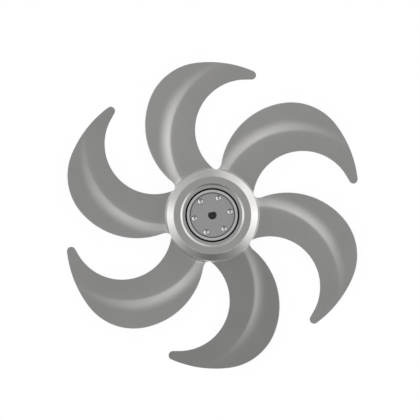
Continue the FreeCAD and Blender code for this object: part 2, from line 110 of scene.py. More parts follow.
class ImpellerBlade(bpy.types.PropertyGroup):
    """Outline, fold and edges of the blades"""

    count: IntProperty(name="Blades", description="Blades round the hub", default=6)
    tip_radius: length("Tip Radius", "Farthest reach of the blades", 249.9)
    outer_radius: length("Outer Curve", "Radius of the outer edge", 180)
    outer_lean: angle("Outer Lean", "Angle to where the outer edge reaches farthest", 5.4)
    nose_radius: length("Nose Radius", "Rounding of the hooked nose", 7.2)
    nose_reach: length("Nose Reach", "Nose centre ahead of the blade's axis", 63.8)
    lead_bow: length("Lead Bow", "Leading edge's bow behind the blade's axis", 28)
    lead_root: length("Lead Root", "Leading edge ahead of the axis at the buried root", 7.3)
    trail_bow: length("Trail Bow", "Trailing edge's bow behind the blade's axis", 110)
    trail_radius: length("Trail Curve", "Radius of the trailing edge", 120)
    trail_drop: length("Trail Drop", "Centre of that curve below the farthest reach", 102.1)
    shoulder_drop: length("Shoulder Drop", "Start of the shoulder below the farthest reach", 61)
    toe_height: length("Toe Height", "Trailing edge's toe above the hub wall", 4)
    toe_slant: length("Toe Slant", "Toe's edge longer than the straight way down", 8)
    root_depth: length("Root Depth", "Blade root buried in the hub wall", 2.5)
    root_fillet: length("Root Fillet", "Fillet between the blade and the hub wall", 2.5)
    thickness: length("Thickness", "Blade thickness along the shaft", 4)
    edge_round: length("Edge Rounding", "Rounding of the blade's edges", 0.7)
    level: length("Level", "Front surface's height on the blade's axis", 37)
    pitch: angle("Pitch", "Slope of the blade's front plane", 11.5)
    fold_reach: length("Fold Reach", "Fold line's bow behind the blade's axis", 69)
    fold_centre: length("Fold Centre", "Distance up the blade where the fold bows most", 124)
    fold_radius: length("Fold Curve", "Radius of the fold line seen from the front", 130)
    fold_step: length("Fold Step", "Rear of the blade below the plane of its front", 2.6)
    riser: length("Riser", "Width of the hollow slope behind the fold", 21)
    hollow: number("Hollow", "How hollow that slope is; 1 is flat", 2.2)
    crease: length("Crease", "Rounding of the fold's crisp stretch", 2.2)
    fade_start: length("Fade Start", "Distance up the blade where the fold starts to fade", 180)
    fade: length("Fade", "Further distance in which the fold fades", 80)
    fade_width: length("Fade Width", "Rounding of the fold at its faded end", 3)
    fade_drop: number("Fade Drop", "Share of the fold's step that is lost there", 0.95)
    fade_narrow: number("Fade Narrow", "Share of the hollow slope's width lost there", 0.6)


class ImpellerHub(bpy.types.PropertyGroup):
    """The hub's cup, its recess, its ribs and their roundings"""

    radius: length("Hub Radius", "Outer radius of the hub", 75)
    depth: length("Hub Depth", "Hub from its rear rim to its front face", 56)
    wall: length("Side Wall", "Side wall of the hub", 4)
    face_wall: length("Face Wall", "Front wall of the hub", 5)
    face_radius: length("Face Radius", "Edge between the flat face and the bevel", 62.9)
    bevel_drop: length("Bevel Drop", "Height that the bevel loses at the side wall", 7.92)
    recess_depth: length("Recess Depth", "Recess floor below the front face", 2.1)
    step_top: length("Step Top", "Top of the recess's sloping step", 51.7)
    step_foot: length("Step Foot", "Foot of the recess's sloping step", 48.7)
    seat_radius: length("Seat Radius", "Bore that the plate and its ring sit in", 43.7)
    seat_depth: length("Seat Depth", "Seat below the front face", 10)
    web: length("Web", "Web between the plate and the bush", 7)
    web_hole: length("Web Hole", "Radius of the hole in the web", 16)
    collar: length("Collar", "Wall round the seat", 4.5)
    ribs: IntProperty(name="Ribs", description="Ribs behind the hub's face", default=6)
    rib: length("Rib", "Thickness of each rib", 3.5)
    rib_drop: length("Rib Drop", "Fall of each rib from the web to the side wall", 22)
    rib_bite: length("Rib Bite", "How far the ribs run into the walls", 1)
    rib_corner: length("Rib Corner", "Rounding of a rib's corners", 0.5)
    rib_edge: length("Rib Edge", "Rounding of a rib's edges", 1.2)
    seat_round: length("Seat Rounding", "Rounding at the top of the seat", 0.3)
    step_round: length("Step Rounding", "Rounding above and below the recess's step", 0.5)
    face_round: length("Face Rounding", "Rounding between the face and the bevel", 1.5)
    bevel_round: length("Bevel Rounding", "Rounding between the bevel and the side", 3)
    rim_round: length("Rim Rounding", "Rounding of the rear rim", 0.8)
    side_hollow: length("Side Hollow", "Inside rounding behind the side's top", 4)
    face_hollow: length("Face Hollow", "Inside rounding behind the face's edge", 3)
    collar_round: length("Collar Rounding", "Inside rounding beside the collar", 1.5)
    collar_foot: length("Collar Foot", "Rounding of the collar's rear edge", 1.2)


class ImpellerRing(bpy.types.PropertyGroup):
    """The rubber ring round the plate"""

    width: length("Ring Width", "Rubber ring between the plate and its seat", 2.3)
    foot_round: length("Ring Foot", "Rounding of the ring's hidden edges", 0.2)
    top_round: length("Ring Top", "Rounding of the ring's visible edges", 0.6)


class ImpellerPins(bpy.types.PropertyGroup):
    """The dowel pins in the plate"""

    count: IntProperty(name="Pins", description="Dowel pins through the plate", default=6)
    circle: length("Pin Circle", "Radius of the circle that the pins stand on", 29.2)
    phase: angle("Pin Phase", "Angle of the first pin", 10.6)
    radius: length("Pin Radius", "Outer radius of each pin", 2.8)
    foot_round: length("Foot Rounding", "Rounding of a pin's hidden end", 0.4)
    neck_round: length("Neck Rounding", "Rounding below a pin's head", 0.2)
    plate_rim: length("Plate Rim", "Plate's floor below its rim", 2)
    head_drop: length("Head Drop", "Head's lip below the plate's floor", 0.03)
    head_radius: length("Head Radius", "Outer radius of each pin's dished head", 4.2)
    head_slope: angle("Head Slope", "Slope of the dish", 33)
    head_lip: length("Head Lip", "Thickness of the dish at its lip", 0.15)
    lip_round: length("Lip Rounding", "Rounding of that lip", 0.04)
    hollow: length("Pin Hollow", "Radius of the hole drilled in each pin's head", 1.8)
    hollow_depth: length("Hollow Depth", "Depth of that hole", 3)
    dish_round: length("Dish Rounding", "Rounding where the dish meets the hole", 0.15)
    drill_round: length("Drill Rounding", "Rounding at the foot of the hole", 0.1)
    drill_cone: number("Drill Cone", "Depth of the hole's point beside its radius", 0.5)


class ImpellerFinish(bpy.types.PropertyGroup):
    """Colours and wear of the materials, with their painted light and painted shade"""

    casting: tint("Casting", "Satin grey of the casting", (0.56, 0.555, 0.545))
    casting_roughness: number("Casting Roughness", "How dull the casting's coat is", 0.3)
    casting_metal: number("Casting Metal", "How metallic the casting's coat looks", 0.85)
    wear: number("Wear", "How much of the coat is rubbed off the edges", 0.6)
    rubbed_gain: number("Rubbed Gain", "Rubbed edges' brightness beside the casting's", 1.3)
    # Painted light: the face and slope gains give the hub's flat face, its step and its bevel
    # lighter copies of the casting's colour, stopped short of the hub's edges by the margin
    painted_face_light: number("Face Gain", "Skimmed hub face's brightness beside the casting's", 1.19)
    painted_slope_light: number("Slope Gain", "Skimmed bevel's and step's brightness beside it", 1.43)
    painted_light_margin: length("Skim Margin", "Skimmed faces end short of the hub's edges", 0.4)
    # Painted shade: a dark band on the casting beside the rubber ring, and on the plate's edge
    seat_shade_width: length("Seat Edge", "Width of the dark edge outside the rubber ring", 0.4)
    painted_gap_shade: number("Edge Shade", "Brightness of the dark edges beside the metal's", 0.08)
    plate: tint("Plate", "Turned grey of the hub plate", (0.64, 0.64, 0.635))
    # Painted light: a lighter copy of the plate's colour on its rim
    painted_rim_light: number("Rim Gain", "Skimmed rim's brightness beside the plate's", 1.45)
    # Painted shade darkens the plate's groove between these radii
    groove_inner: length("Groove Inner", "Inner radius of the plate's dark groove", 35.2)
    groove_outer: length("Groove Outer", "Outer radius of the plate's dark groove", 37.1)
    painted_groove_shade: number("Groove Shade", "Brightness of that groove beside the plate's", 0.4)
    # Painted shade on the plate's edge starts at this radius, where the rim's painted light ends
    plate_shade_radius: length("Plate Edge", "Inner radius of the plate's dark edge", 41.15)
    pin: tint("Pins", "Bright metal of the pins", (0.78, 0.78, 0.775))
    rubber: tint("Rubber", "Black of the rubber ring", (0.0055, 0.0055, 0.0055))
    steel: tint("Steel", "Turned steel of the bush", (0.36, 0.36, 0.37))
    black: tint("Black", "Blackened steel of the set screw", (0.0325, 0.0325, 0.037))


class ImpellerStudio(bpy.types.PropertyGroup):
    """Camera, light and floor"""

    field: length("Field", "Width of the picture at the blades", 683)
    distance: length("Distance", "Camera above the blades", 6000)
    tilt: angle("Tilt", "Camera's lean from the impeller's axis", 0.7)
    aim_across: length("Aim Across", "Picture's middle to the right of the axis", -3.789)
    aim_up: length("Aim Up", "Picture's middle above the axis", 8.5375)
    light: number("Light", "Brightness of the soft boxes", 0.96)
    floor_reach: length("Floor", "Half the width of the floor", 6000)
    shadow_reach: length("Shadow Reach", "How far the blades darken the floor", 40)
    shadow: number("Shadow", "How much they darken it", 0.05)
    cup_light: number("Cup Light", "Brightness of the floor inside the hub", 0.03)


# Mesh helpers
def grid_faces(rows, columns, rows_close=False, columns_close=False):
    """Four-cornered faces of a grid of points numbered row by row, each joining a point, its
    neighbour in the row and the same two in the next row."""
    row, column = np.meshgrid(
        np.arange(rows if rows_close else rows - 1),
        np.arange(columns if columns_close else columns - 1), indexing="ij")
    here, after = row * columns, (row + 1) % rows * columns
    beside = (column + 1) % columns
    corners = [here + column, here + beside, after + beside, after + column]
    return np.stack(corners, axis=-1).reshape(-1, 4)


def outward(points, faces):
    """The faces, all reversed if the volume that they enclose, the sum of the solids between each
    triangle and the origin, comes out negative."""
    first, second, third, fourth = (points[faces[:, corner]] for corner in range(4))
    volume = np.sum(np.cross(second - first, third - first) * first)
    volume += np.sum(np.cross(third - first, fourth - first) * first)
    return faces if volume > 0 else faces[:, ::-1]


def piece(name, shells, node):
    """A smooth mesh object of closed shells that stands for a solid of the frame. Points that
    meet at a pole or a closed end are merged."""
    points = np.concatenate([shell[0].reshape(-1, 3) for shell in shells])
    starts = np.cumsum([0] + [shell[0].size // 3 for shell in shells[:-1]])
    faces = np.concatenate([
        outward(shell[0].reshape(-1, 3), shell[1]) + start for shell, start in zip(shells, starts)])
    mesh = bpy.data.meshes.new(name)
    mesh.from_pydata(points.tolist(), [], faces.tolist())
    joined = bmesh.new()
    joined.from_mesh(mesh)
    bmesh.ops.remove_doubles(joined, verts=joined.verts, dist=JOINED)
    joined.to_mesh(mesh)
    joined.free()
    mesh.shade_smooth()
    item = bpy.data.objects.new(name, mesh)
    bpy.context.scene.collection.objects.link(item)
    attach(item, "root")
    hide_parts(node)
    return item


def copies(points, count, first=0.0):
    """Points turned about Z by equal steps: (x cos a - y sin a, x sin a + y cos a, z)."""
    turn = first + np.arange(count).reshape(-1, *[1] * (points.ndim - 1)) * TURN / count
    x, y, z = points[..., 0], points[..., 1], points[..., 2]
    return np.stack([
        x * np.cos(turn) - y * np.sin(turn), x * np.sin(turn) + y * np.cos(turn),
        np.broadcast_to(z, (count, *z.shape))], axis=-1)


def rounded(corners, steps=5, support=0.15):
    """A closed outline whose corners (across, up, radius) are arcs: each arc's centre lies on the
    corner's bisector, its points turn evenly from one tangent point to the other, and one more
    point before and after it keeps the straight sides flat where the shading is smooth."""
    corners = np.array(corners)
    place, radius = corners[:, :2], np.maximum(corners[:, 2], SHARP)[:, None]
    to_last = np.roll(place, 1, axis=0) - place
    to_next = np.roll(place, -1, axis=0) - place
    to_last /= np.linalg.norm(to_last, axis=1, keepdims=True)
    to_next /= np.linalg.norm(to_next, axis=1, keepdims=True)
    half = 0.5 * np.arccos(np.clip(np.sum(to_last * to_next, axis=1, keepdims=True), -1, 1))
    middle = to_last + to_next
    middle /= np.linalg.norm(middle, axis=1, keepdims=True)
    centre = place + middle * radius / np.sin(half)
    start = place + to_last * radius / np.tan(half) - centre
    end = place + to_next * radius / np.tan(half) - centre
    sweep = math.pi - 2 * half
    share = np.linspace(0, 1, steps)
    arcs = (start[:, None] * np.sin((1 - share) * sweep)[..., None]
            + end[:, None] * np.sin(share * sweep)[..., None]) / np.sin(sweep)[..., None]
    flat = support * radius / np.tan(half) + SHARP
    before, behind = start + to_last * flat, end + to_next * flat
    arcs = np.concatenate([before[:, None], arcs, behind[:, None]], axis=1)
    return (centre[:, None] + arcs).reshape(-1, 2)


def turned(outline, count):
    """A closed outline (radius, height) carried round the Z axis: (r cos a, r sin a, height)."""
    turn = np.arange(count)[:, None] * TURN / count
    radius = outline[:, 0]
    height = np.broadcast_to(outline[:, 1], (count, len(outline)))
    points = np.stack([radius * np.cos(turn), radius * np.sin(turn), height], axis=-1)
    return points, grid_faces(count, len(outline), True, True)


# Blade, drawn with its axis pointing up: X runs towards the leading edge and Y towards the tip
def arc(centre, radius, first, last, count=400):
    """Points on a circle at even angles: the centre plus the radius times (cos a, sin a)."""
    turn = np.linspace(first, last, count)
    return np.stack([centre[0] + radius * np.cos(turn), centre[1] + radius * np.sin(turn)], axis=-1)


def walk(path):
    """Distance walked along a path of points, at each of them."""
    return np.concatenate([[0], np.cumsum(np.linalg.norm(np.diff(path, axis=0), axis=1))])


def along(path, distance):
    """Points at given distances along a path of points, on the straights between them."""
    walked = walk(path)
    return np.stack([np.interp(distance, walked, side) for side in path.T], axis=-1)


def blade_edges(blade, hub, toe_points=50):
    """The leading and trailing edges as paths of points from the buried root to the nose's middle.
    Both are tangent arcs. Two arcs that touch have centres as far apart as their radii differ, or
    add up to, and each centre follows from that, from the sizes and from the arc before it. The
    toe is a straight edge from the trailing arc down into the hub wall."""
    outer_lift = blade.tip_radius - blade.outer_radius
    outer = np.array([-math.sin(blade.outer_lean), math.cos(blade.outer_lean)]) * outer_lift
    nose_lift = blade.outer_radius - blade.nose_radius
    nose_up = math.sqrt(nose_lift**2 - (blade.nose_reach - outer[0]) ** 2)
    nose = np.array([blade.nose_reach, outer[1] + nose_up])
    throat = nose[1] - blade.nose_radius
    root = hub.radius - blade.root_depth
    foot = np.array([blade.lead_root, math.sqrt(root**2 - blade.lead_root**2)])
    across, up = foot[0] + blade.lead_bow, throat - foot[1]
    lead_radius = across + up - math.sqrt(2 * across * up)
    lead = np.array([lead_radius - blade.lead_bow, throat - lead_radius])
    trail = np.array([blade.trail_radius - blade.trail_bow, blade.tip_radius - blade.trail_drop])
    reach = math.hypot(*trail)
    toe_reach = hub.radius + blade.toe_height
    toe_up = (reach**2 + toe_reach**2 - blade.trail_radius**2) / (2 * reach)
    toe_side = math.sqrt(toe_reach**2 - toe_up**2)
    toe = (trail * toe_up + np.array([-trail[1], trail[0]]) * toe_side) / reach
    toe_edge = blade.toe_height + blade.root_depth + blade.toe_slant
    swing = math.acos((toe_reach**2 + root**2 - toe_edge**2) / (2 * toe_reach * root))
    toe_turn = math.atan2(toe[1], toe[0]) + swing
    toe_foot = np.array([math.cos(toe_turn), math.sin(toe_turn)]) * root
    lift = math.asin((blade.trail_drop - blade.shoulder_drop) / blade.trail_radius)
    way = np.array([-math.cos(lift), math.sin(lift)])
    gap = trail - outer
    excess = blade.outer_radius - blade.trail_radius
    shorter = (gap @ gap - excess**2) / (2 * (excess - gap @ way))
    shoulder = trail + way * shorter
    shoulder_turn = math.atan2(*(shoulder - outer)[::-1])
    nose_turn = math.atan2(*(nose - outer)[::-1])
    toe_start = math.atan2(*(toe - trail)[::-1]) % TURN
    lead_foot = math.atan2(*(foot - lead)[::-1]) % TURN
    nose_middle = 0.5 * (nose_turn - 0.5 * math.pi)
    leading = np.concatenate([
        arc(lead, lead_radius, lead_foot, 0.5 * math.pi),
        arc(nose, blade.nose_radius, -0.5 * math.pi, nose_middle)])
    trailing = np.concatenate([
        np.linspace(toe_foot, toe, toe_points),
        arc(trail, blade.trail_radius, toe_start, math.pi - lift),
        arc(shoulder, blade.trail_radius - shorter, math.pi - lift, shoulder_turn),
        arc(outer, blade.outer_radius, shoulder_turn, nose_turn),
        arc(nose, blade.nose_radius, nose_turn, nose_middle)])
    return leading, trailing


def behind_fold(blade, x, y):
    """How far a point lies behind the fold line, which is a circle: its distance from the
    circle's centre, less the radius."""
    centre = blade.fold_radius - blade.fold_reach
    return np.hypot(x - centre, y - blade.fold_centre) - blade.fold_radius


def front_height(blade, x, y):
    """Height of the blade's front surface: a plane that rises forwards, less a hollow slope that
    starts at the fold line and runs out a step lower, step (1 - left ^ hollow), where left falls
    from 1 to 0 across the slope. The distance d behind the fold is rounded over r to
    (d + sqrt(d d + r r)) / 2, and the slope and the step fade away towards the tip."""
    soft = np.clip((y - blade.fade_start) / blade.fade, 0, 1)
    rounding = blade.crease + (blade.fade_width - blade.crease) * soft**2 * (3 - 2 * soft)
    behind = behind_fold(blade, x, y)
    past = 0.5 * (behind + np.sqrt(behind**2 + rounding**2))
    left = 1 - np.clip(past / (blade.riser * (1 - blade.fade_narrow * soft)), 0, 1)
    step = blade.fold_step * (1 - blade.fade_drop * soft)
    return blade.level + x * math.tan(blade.pitch) - step * (1 - left**blade.hollow)


def root_rows(blade, hub, fillet_steps=8, bury=0.8):
    """Radii of the rows inside the hub wall and up the root fillet, whose arc stands at
    R + r (1 - cos a), and how far the blade swells there, r (1 - sin a)."""
    climb = np.linspace(0, 0.5 * math.pi, fillet_steps)
    buried = hub.radius - bury * blade.root_depth
    radii = np.concatenate([[buried], hub.radius + blade.root_fillet * (1 - np.cos(climb))])
    return radii, np.concatenate([[1], 1 - np.sin(climb)]) * blade.root_fillet


def blade_columns(blade, width, swell, crossing, edge_steps=6, crease_steps=7, slope_steps=11):
    """Where the columns lie across each row, walked from the leading edge: the rounded edge, the
    plane in front, the crease, the hollow slope, the plane behind and the other edge. The second
    result is how wide the rounded edges are."""
    whole = width + 2 * swell
    curve = np.minimum(blade.edge_round + swell, EDGE_MOST * whole)
    inner = whole - 2 * curve
    front = np.clip(crossing * width + swell - curve, FRONT_LEAST * inner, FRONT_MOST * inner)
    crisp = np.minimum(2 * blade.crease, CREASE_MOST * inner)
    slope = np.minimum(blade.riser, SLOPE_MOST * (inner - front - crisp))
    fold = curve + front + crisp
    edge = curve * (1 - np.cos(np.linspace(0, 0.5 * math.pi, edge_steps)))[:-1]
    edge = np.concatenate([np.zeros_like(curve), edge], axis=1)
    columns = np.concatenate([
        edge,
        curve + (front - crisp) * FRONT_COLUMNS,
        fold + crisp * np.linspace(-2, 0, crease_steps)[:-1],
        fold + slope * np.linspace(0, 1, slope_steps)[:-1],
        fold + slope + (inner - front - crisp - slope) * REAR_COLUMNS,
        (whole - edge)[:, ::-1]], axis=1)
    return columns, curve


def blade_sections(blade, hub, rows=72, closing=1.6, samples=240):
    """A blade's closed sections, rows of points from inside the hub wall to the nose. A row runs
    from one edge to the other with its radius and its angle mixed in the same share. Its section
    goes out along the front and back along the rear, which stand half the thickness and the
    fillet's swelling from the middle, less the quarter rounds at the edges."""
    radii, swell = root_rows(blade, hub)
    swell = np.concatenate([swell, np.zeros(rows - 1)])[:, None]
    share = 1 - (1 - np.linspace(0, 1, rows)[1:]) ** closing
    ends = []
    for path in blade_edges(blade, hub):
        reach, walked = np.linalg.norm(path, axis=1), walk(path)
        first = slice(0, int(np.argmax(reach > radii[-1])) + 1)
        start = np.interp(radii, reach[first], walked[first])
        rest = start[-1] + (walked[-1] - start[-1]) * share
        end = along(path, np.concatenate([start, rest]))
        radius, turn = np.linalg.norm(end, axis=1), np.arctan2(end[:, 1], end[:, 0])
        ends.append((radius[:, None], turn[:, None]))
    (near, near_turn), (far, far_turn) = ends

    def across(share):
        """Points of each row at a share of the way from the leading to the trailing edge."""
        radius = near + (far - near) * share
        turn = near_turn + (far_turn - near_turn) * share
        return radius * np.cos(turn), radius * np.sin(turn)

    x, y = across(np.linspace(0, 1, samples + 1)[None])
    width = np.sum(np.hypot(np.diff(x, axis=1), np.diff(y, axis=1)), axis=1)[:, None]
    width = np.maximum(width, THIN)
    crossed = behind_fold(blade, x, y) > 0
    crossing = np.where(crossed.any(axis=1), np.argmax(crossed, axis=1), samples)[:, None] / samples
    columns, curve = blade_columns(blade, width, swell, crossing)
    x, y = across((columns - swell) / width)
    whole = columns[:, -1:]
    lean = 1 - np.clip(np.minimum(columns, whole - columns) / curve, 0, 1)
    bulge = 0.5 * blade.thickness + swell - curve * (1 - np.sqrt(1 - lean**2))
    bulge[:, [0, -1]] = 0
    middle = front_height(blade, x, y) - 0.5 * blade.thickness
    upper = np.stack([x, y, middle + bulge], axis=-1)
    lower = np.stack([x, y, middle - bulge], axis=-1)[:, -2:0:-1]
    return np.concatenate([upper, lower], axis=1)


def blade_shells(blade, hub):
    """Each blade as one closed shell: its sections, a strip across the buried end and the nose."""
    sections = blade_sections(blade, hub)
    rows, columns = sections.shape[:2]
    near = np.arange(1, columns // 2 - 1)
    cap = np.stack([near, near + 1, columns - near - 1, columns - near], axis=-1)
    faces = np.concatenate([grid_faces(rows, columns, columns_close=True), cap])
    return [(points, faces) for points in copies(sections, blade.count)]


# Hub
def hub_levels(hub):
    """Heights of the seat's floor, of the web's rear and of the inside of the face."""
    seat = hub.depth - hub.seat_depth
    return seat, seat - hub.web, hub.depth - hub.face_wall


def hub_outline(hub):
    """The hub's half section, corners (radius, height, rounding) from the web round the front,
    down the side and back along the inside."""
    seat, web, under = hub_levels(hub)
    floor = hub.depth - hub.recess_depth
    collar = hub.seat_radius + hub.collar
    bore = hub.radius - hub.wall
    return rounded([
        (hub.web_hole, web, 0), (hub.web_hole, seat, 0), (hub.seat_radius, seat, 0),
        (hub.seat_radius, floor, hub.seat_round), (hub.step_foot, floor, hub.step_round),
        (hub.step_top, hub.depth, hub.step_round), (hub.face_radius, hub.depth, hub.face_round),
        (hub.radius, hub.depth - hub.bevel_drop, hub.bevel_round),
        (hub.radius, 0, hub.rim_round), (bore, 0, hub.rim_round),
        (bore, under - hub.bevel_drop, hub.side_hollow),
        (hub.face_radius - hub.wall, under, hub.face_hollow),
        (hub.step_top, under, hub.collar_round),
        (collar, floor - hub.face_wall, hub.collar_round), (collar, web, hub.collar_foot),
    ])


def rib_shells(hub, side_steps=4):
    """The ribs, each a slab whose outline (radius, height) stands at e sin a towards each side,
    shrunk towards its centre by e (1 - cos a), where e is the rounding of the slab's edges."""
    _, web, under = hub_levels(hub)
    collar = hub.seat_radius + hub.collar - hub.rib_bite
    bore = hub.radius - hub.wall + hub.rib_bite
    corners = [
        (collar, web), (bore, web - hub.rib_drop), (bore, under - hub.bevel_drop),
        (hub.face_radius - hub.wall, under + hub.rib_bite),
        (collar, under - hub.recess_depth + hub.rib_bite)]
    outline = rounded([(*corner, hub.rib_corner) for corner in corners], steps=3)
    lean = np.linspace(0, 0.5 * math.pi, side_steps)
    inset = hub.rib_edge * (1 - np.cos(lean))
    side = 0.5 * hub.rib - hub.rib_edge * (1 - np.sin(lean))
    inset = np.concatenate([inset[::-1], inset])
    side = np.concatenate([-side[::-1], side])
    centre = outline.mean(axis=0)
    away = outline - centre
    shrink = 1 - inset[:, None, None] / np.linalg.norm(away, axis=1)[None, :, None]
    shrink = np.concatenate([shrink[:1] * 0, shrink, shrink[-1:] * 0])
    side = np.concatenate([side[:1], side, side[-1:]])
    flat = centre + away * shrink
    side = np.broadcast_to(side[:, None], flat.shape[:2])
    points = np.stack([flat[..., 0], side, flat[..., 1]], axis=-1)
    faces = grid_faces(len(side), len(outline), columns_close=True)
    return [(rib, faces) for rib in copies(points, hub.ribs)]


# Ring and pins
def ring_outline(ring):
    """The rubber ring's section, corners (radius, height, rounding), within the solid's reach."""
    outer, top, foot = SEAL_HIGH[0], SEAL_HIGH[2], SEAL_LOW[2]
    inner = outer - ring.width
    return rounded([
        (inner, foot, ring.foot_round), (inner, top, ring.top_round),
        (outer, top, ring.top_round), (outer, foot, ring.foot_round)])


def pin_outline(pin):
    """A pin's half section, corners (distance from its axis, height, rounding): the shank, the
    dished head and the hole drilled in it, which ends in a point on the axis."""
    lip = PLATE_TOP - pin.plate_rim - pin.head_drop
    under = lip - pin.head_lip
    neck = under - (pin.head_radius - pin.radius)
    dish = lip - (pin.head_radius - pin.hollow) * math.tan(pin.head_slope)
    end = dish - pin.hollow_depth
    outline = rounded([
        (0, PIN_FOOT, 0), (pin.radius, PIN_FOOT, pin.foot_round),
        (pin.radius, neck, pin.neck_round),
        (pin.head_radius, under, pin.lip_round), (pin.head_radius, lip, pin.lip_round),
        (pin.hollow, dish, pin.dish_round), (pin.hollow, end, pin.drill_round),
        (0, end - pin.drill_cone * pin.hollow, 0)])
    outline[:, 0] = np.maximum(outline[:, 0], 0)
    return outline


class IMPELLER_OT_casting(bpy.types.Operator):
    """Build the casting: the hub's cup, its ribs and the blades"""

    bl_idname = "impeller.casting"
    bl_label = "Casting"

    def execute(self, context):
        scene = context.scene
        blade, hub = scene.impeller_blade, scene.impeller_hub
        cup = turned(hub_outline(hub), HUB_STEPS)
        shells = [cup, *rib_shells(hub), *blade_shells(blade, hub)]
        casting = piece("casting", shells, "impeller")
        casting.data.materials.append(casting_paint(scene.impeller_finish, hub))
        return {"FINISHED"}


class IMPELLER_OT_ring(bpy.types.Operator):
    """Build the rubber ring round the plate"""

    bl_idname = "impeller.ring"
    bl_label = "Rubber Ring"

    def execute(self, context):
        scene = context.scene
        shell = turned(ring_outline(scene.impeller_ring), RING_STEPS)
        ring = piece("rubber_ring", [shell], "seal_ring")
        ring.data.materials.append(black_rubber(scene.impeller_finish))
        return {"FINISHED"}


class IMPELLER_OT_pins(bpy.types.Operator):
    """Build the drilled dowel pins in the plate"""

    bl_idname = "impeller.pins"
    bl_label = "Dowel Pins"

    def execute(self, context):
        scene = context.scene
        pin = scene.impeller_pins
        points, faces = turned(pin_outline(pin), PIN_STEPS)
        points = points + np.array([pin.circle, 0, 0])
        shells = [(place, faces) for place in copies(points, pin.count, pin.phase)]
        pins = piece("dowel_pins", shells, "plate_pins")
        pins.data.materials.append(bright_pin(scene.impeller_finish))
        return {"FINISHED"}


# Shader nodes
def add(tree, kind, inputs=(), **settings):
    """A node whose inputs, by place or by name, are plain values or other nodes' outputs."""
    item = tree.nodes.new("ShaderNode" + kind)
    for name, value in settings.items():
        setattr(item, name, value)
    pairs = inputs.items() if isinstance(inputs, dict) else enumerate(inputs)
    for key, value in pairs:
        if isinstance(value, bpy.types.NodeSocket):
            tree.links.new(value, item.inputs[key])
        else:
            item.inputs[key].default_value = value
    return item


def maths(tree, operation, *inputs):
    """The result of a sum on numbers or on other nodes' outputs."""
    return add(tree, "Math", inputs, operation=operation).outputs[0]


def spread(tree, value, low, high):
    """A value from 0 to 1 stretched to run from low to high."""
    return add(tree, "MapRange", {"Value": value, "To Min": low, "To Max": high}).outputs[0]


def between(tree, value, low, high):
    """1 where a value lies between two bounds, else 0."""
    above = maths(tree, "GREATER_THAN", value, low)
    return maths(tree, "MULTIPLY", above, maths(tree, "LESS_THAN", value, high))


def blend(tree, share, first, second):
    """One colour turning into another as the share goes from 0 to 1."""
    return add(tree, "Mix", {0: share, 6: first, 7: second}, data_type="RGBA").outputs[2]


def shade(colour, factor):
    """A lighter or darker tone of a colour, never brighter than white."""
    return (*(min(1, factor * part) for part in colour), 1)


def group(name, inputs, outputs, make):
    """A node group with number inputs {name: default} and number outputs, filled in by make."""
    tree = bpy.data.node_groups.new(name, "ShaderNodeTree")
    kind = "NodeSocketFloat"
    for label, default in inputs.items():
        socket = tree.interface.new_socket(name=label, in_out="INPUT", socket_type=kind)
        socket.default_value = default
    for label in outputs:
        tree.interface.new_socket(name=label, in_out="OUTPUT", socket_type=kind)
    source = tree.nodes.new("NodeGroupInput")
    target = tree.nodes.new("NodeGroupOutput")
    for label, result in zip(outputs, make(tree, source.outputs)):
        tree.links.new(result, target.inputs[label])
    return tree


def grain_nodes(tree, given):
    """Fine grain over slow, cloudy patches, as a blasted or painted casting has."""
    place = add(tree, "TexCoord").outputs["Object"]
    fine = add(tree, "TexNoise", {"Vector": place, "Scale": given["Scale"], "Detail": 3}).outputs[0]
    slow = maths(tree, "MULTIPLY", given["Scale"], 0.02)
    cloud = add(tree, "TexNoise", {"Vector": place, "Scale": slow, "Detail": 2}).outputs[0]
    cloudy = maths(tree, "MULTIPLY", cloud, given["Clouds"])
    grainy = maths(tree, "MULTIPLY", fine, maths(tree, "SUBTRACT", 1, given["Clouds"]))
    tone = add(tree, "MapRange", {
        "Value": maths(tree, "ADD", cloudy, grainy), "From Min": 0.25, "From Max": 0.75}).outputs[0]
    return tone, fine


def turning_nodes(tree, given):
    """Rings round the Z axis, uneven in width and depth: noise in the distance from the axis."""
    place = add(tree, "TexCoord").outputs["Object"]
    flat = add(tree, "VectorMath", (place, (1, 1, 0)), operation="MULTIPLY").outputs[0]
    radius = add(tree, "VectorMath", (flat,), operation="LENGTH").outputs["Value"]
    out = maths(tree, "MULTIPLY", radius, given["Rings"])
    rings = add(tree, "TexNoise", {"W": out, "Scale": 1, "Detail": 2}, noise_dimensions="1D")
    return rings.outputs[0], radius


def wear_nodes(tree, given):
    """Edges rubbed bright: where the surface bends outwards, broken up by noise."""
    bend = add(tree, "NewGeometry").outputs["Pointiness"]
    edge = add(tree, "MapRange", {
        "Value": bend, "From Min": given["Start"], "From Max": given["Full"]}).outputs[0]
    place = add(tree, "TexCoord").outputs["Object"]
    patch = add(tree, "TexNoise", {
        "Vector": place, "Scale": given["Patches"], "Detail": 3}).outputs[0]
    return (maths(tree, "MULTIPLY", edge, patch),)


# Each shared effect's inputs with their defaults, its outputs and the function that fills it in
EFFECTS = {
    "grain": ({"Scale": 900, "Clouds": 0.6}, ("Tone", "Height"), grain_nodes),
    "turning": ({"Rings": 1500}, ("Tone", "Radius"), turning_nodes),
    "wear": ({"Start": 0.52, "Full": 0.6, "Patches": 90}, ("Mask",), wear_nodes),
}


def effect(tree, name, **values):
    """One of the shared effects, placed in a material with its own values."""
    made = bpy.data.node_groups.get(name) or group(name, *EFFECTS[name])
    item = add(tree, "Group", node_tree=made)
    for label, value in values.items():
        item.inputs[label].default_value = value
    return item.outputs


